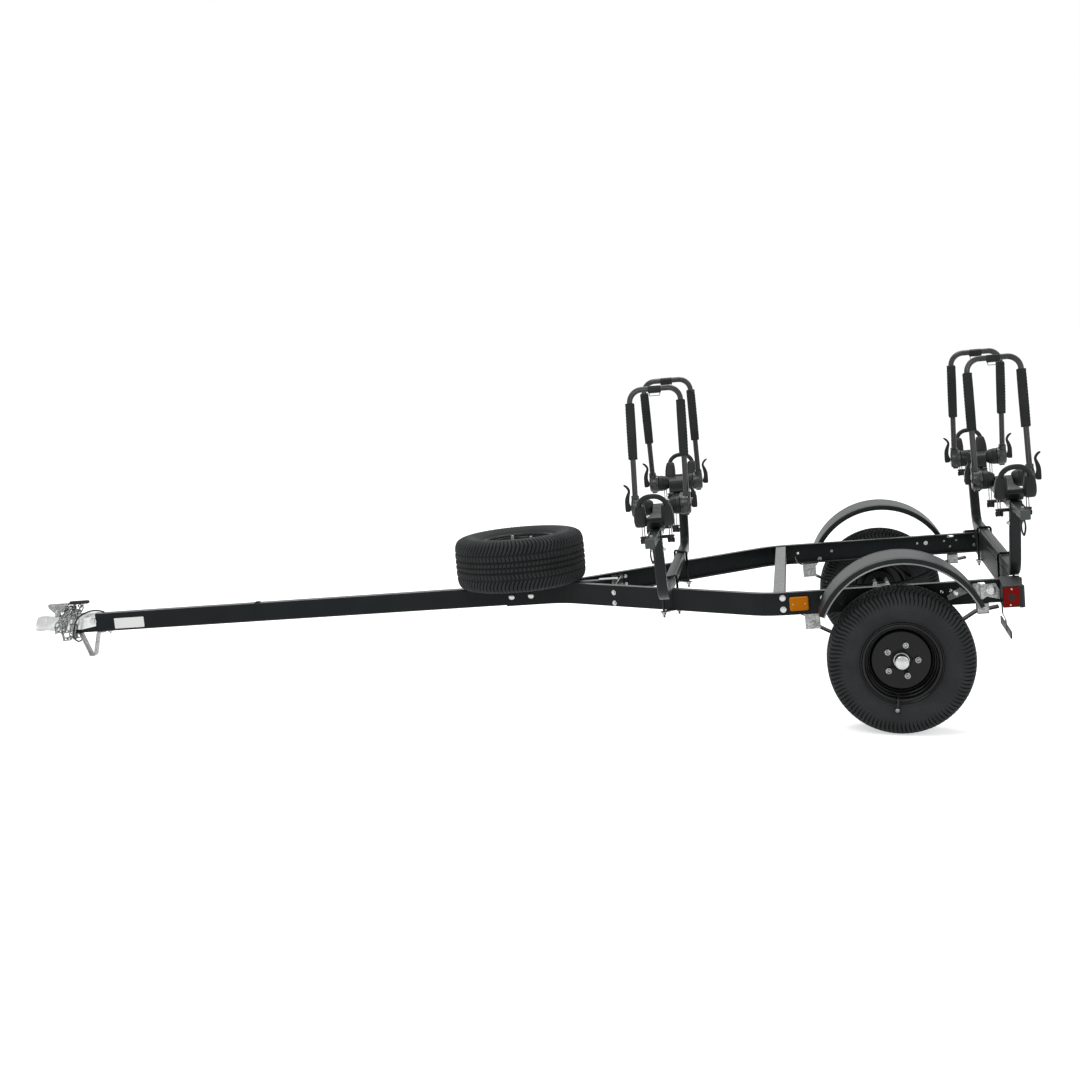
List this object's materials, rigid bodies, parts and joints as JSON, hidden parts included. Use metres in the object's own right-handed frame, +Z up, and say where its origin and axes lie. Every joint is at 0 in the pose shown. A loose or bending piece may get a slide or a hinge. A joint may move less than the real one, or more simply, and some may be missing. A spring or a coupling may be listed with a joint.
{
  "type": "kayak trailer",
  "caption": "Light two-wheeled trailer with a long tongue, arched fenders, raised crossbars and folding J-shaped cradles for kayaks, standing on its tongue stand.",
  "frame": {"origin": "on the ground, under the centre of the trailer's outline", "axes": "+X to the trailer's rear, +Y to its right side, +Z up; the frame is tilted nose down about Y so that both tyres and the stand's foot touch the ground"},
  "size_m": [4.079, 2.002, 1.318],
  "materials": {
    "amber_lens": "clear amber",
    "cable_black": "matt",
    "chassis_black": "satin black powder coat",
    "moulded_black": "moulded, lightly grained",
    "red_lens": "clear red",
    "rim_gloss_black": "gloss black paint",
    "tyre_rubber": "matt",
    "zinc": "zinc plated"
  },
  "bodies": {
    "frame": {"axle": "chassis_black", "coupler_body": "zinc", "front_brace": "zinc", "front_crossbar": "chassis_black", "front_left_base": "moulded_black", "front_left_u_bolt": "zinc", "front_load_bar": "chassis_black", "front_right_base": "moulded_black", "front_right_u_bolt": "zinc", "left_fender": "chassis_black", "left_leaf_spring": "chassis_black", "left_rail": "chassis_black", "left_side_marker": "amber_lens", "left_spring_clamp": "zinc", "left_tail_light_housing": "moulded_black", "left_tail_light_lens": "red_lens", "licence_plate_bracket": "chassis_black", "middle_cross_member": "zinc", "rear_cross_member": "chassis_black", "rear_crossbar": "chassis_black", "rear_left_base": "moulded_black", "rear_left_u_bolt": "zinc", "rear_load_bar": "chassis_black", "rear_right_base": "moulded_black", "rear_right_u_bolt": "zinc", "right_fender": "chassis_black", "right_leaf_spring": "chassis_black", "right_rail": "chassis_black", "right_side_marker": "amber_lens", "right_spring_clamp": "zinc", "right_tail_light_housing": "moulded_black", "right_tail_light_lens": "red_lens", "safety_chain": "zinc", "spare_mount": "chassis_black", "spare_rim": "rim_gloss_black", "spare_tyre": "tyre_rubber", "tongue_stand": "zinc", "tongue_tube": "chassis_black", "wiring_lead": "cable_black", "wiring_plug": "moulded_black"},
    "left_wheel": {"left_tyre": "tyre_rubber", "left_rim": "rim_gloss_black", "left_hub": "zinc"},
    "right_wheel": {"right_tyre": "tyre_rubber", "right_rim": "rim_gloss_black", "right_hub": "zinc"},
    "latch": {"coupler_lever": "zinc"},
    "front_left_cradle_arm": {"front_left_arm": "moulded_black"},
    "front_left_front_cam": {"front_left_front_lever": "moulded_black"},
    "front_left_rear_cam": {"front_left_rear_lever": "moulded_black"},
    "front_right_cradle_arm": {"front_right_arm": "moulded_black"},
    "front_right_front_cam": {"front_right_front_lever": "moulded_black"},
    "front_right_rear_cam": {"front_right_rear_lever": "moulded_black"},
    "rear_left_cradle_arm": {"rear_left_arm": "moulded_black"},
    "rear_left_front_cam": {"rear_left_front_lever": "moulded_black"},
    "rear_left_rear_cam": {"rear_left_rear_lever": "moulded_black"},
    "rear_right_cradle_arm": {"rear_right_arm": "moulded_black"},
    "rear_right_front_cam": {"rear_right_front_lever": "moulded_black"},
    "rear_right_rear_cam": {"rear_right_rear_lever": "moulded_black"}
  },
  "joints": [
    {"name": "left_wheel_spin", "type": "hinge", "parent": "frame", "child": "left_wheel", "pos_m": [1.53948, -0.742, 0.25812], "axis": [0, 1, 0], "continuous": true},
    {"name": "right_wheel_spin", "type": "hinge", "parent": "frame", "child": "right_wheel", "pos_m": [1.53948, 0.742, 0.25812], "axis": [0, 1, 0], "continuous": true},
    {"name": "coupler_latch", "type": "hinge", "parent": "frame", "child": "latch", "pos_m": [-1.93889, 0, 0.18526], "axis": [0, -1, 0], "range_deg": [0, 55]},
    {"name": "front_left_arm_fold", "type": "hinge", "parent": "frame", "child": "front_left_cradle_arm", "pos_m": [0.66259, -0.41503, 0.74116], "axis": [0.9956, 0, 0.0933], "range_deg": [-10, 100]},
    {"name": "front_left_front_cam_turn", "type": "hinge", "parent": "front_left_cradle_arm", "child": "front_left_front_cam", "pos_m": [0.53863, -0.41503, 0.72955], "axis": [0, -1, 0], "range_deg": [0, 100]},
    {"name": "front_left_rear_cam_turn", "type": "hinge", "parent": "front_left_cradle_arm", "child": "front_left_rear_cam", "pos_m": [0.78654, -0.41503, 0.75278], "axis": [0, 1, 0], "range_deg": [0, 100]},
    {"name": "front_right_arm_fold", "type": "hinge", "parent": "frame", "child": "front_right_cradle_arm", "pos_m": [0.66259, 0.41503, 0.74116], "axis": [-0.9956, 0, -0.0933], "range_deg": [-10, 100]},
    {"name": "front_right_front_cam_turn", "type": "hinge", "parent": "front_right_cradle_arm", "child": "front_right_front_cam", "pos_m": [0.53863, 0.41503, 0.72955], "axis": [0, -1, 0], "range_deg": [0, 100]},
    {"name": "front_right_rear_cam_turn", "type": "hinge", "parent": "front_right_cradle_arm", "child": "front_right_rear_cam", "pos_m": [0.78654, 0.41503, 0.75278], "axis": [0, 1, 0], "range_deg": [0, 100]},
    {"name": "rear_left_arm_fold", "type": "hinge", "parent": "frame", "child": "rear_left_cradle_arm", "pos_m": [1.90423, -0.41503, 0.86736], "axis": [0.9956, 0, 0.0933], "range_deg": [-10, 100]},
    {"name": "rear_left_front_cam_turn", "type": "hinge", "parent": "rear_left_cradle_arm", "child": "rear_left_front_cam", "pos_m": [1.78027, -0.41503, 0.85575], "axis": [0, -1, 0], "range_deg": [0, 100]},
    {"name": "rear_left_rear_cam_turn", "type": "hinge", "parent": "rear_left_cradle_arm", "child": "rear_left_rear_cam", "pos_m": [2.02818, -0.41503, 0.87898], "axis": [0, 1, 0], "range_deg": [0, 100]},
    {"name": "rear_right_arm_fold", "type": "hinge", "parent": "frame", "child": "rear_right_cradle_arm", "pos_m": [1.90423, 0.41503, 0.86736], "axis": [-0.9956, 0, -0.0933], "range_deg": [-10, 100]},
    {"name": "rear_right_front_cam_turn", "type": "hinge", "parent": "rear_right_cradle_arm", "child": "rear_right_front_cam", "pos_m": [1.78027, 0.41503, 0.85575], "axis": [0, -1, 0], "range_deg": [0, 100]},
    {"name": "rear_right_rear_cam_turn", "type": "hinge", "parent": "rear_right_cradle_arm", "child": "rear_right_rear_cam", "pos_m": [2.02818, 0.41503, 0.87898], "axis": [0, 1, 0], "range_deg": [0, 100]}
  ]
}
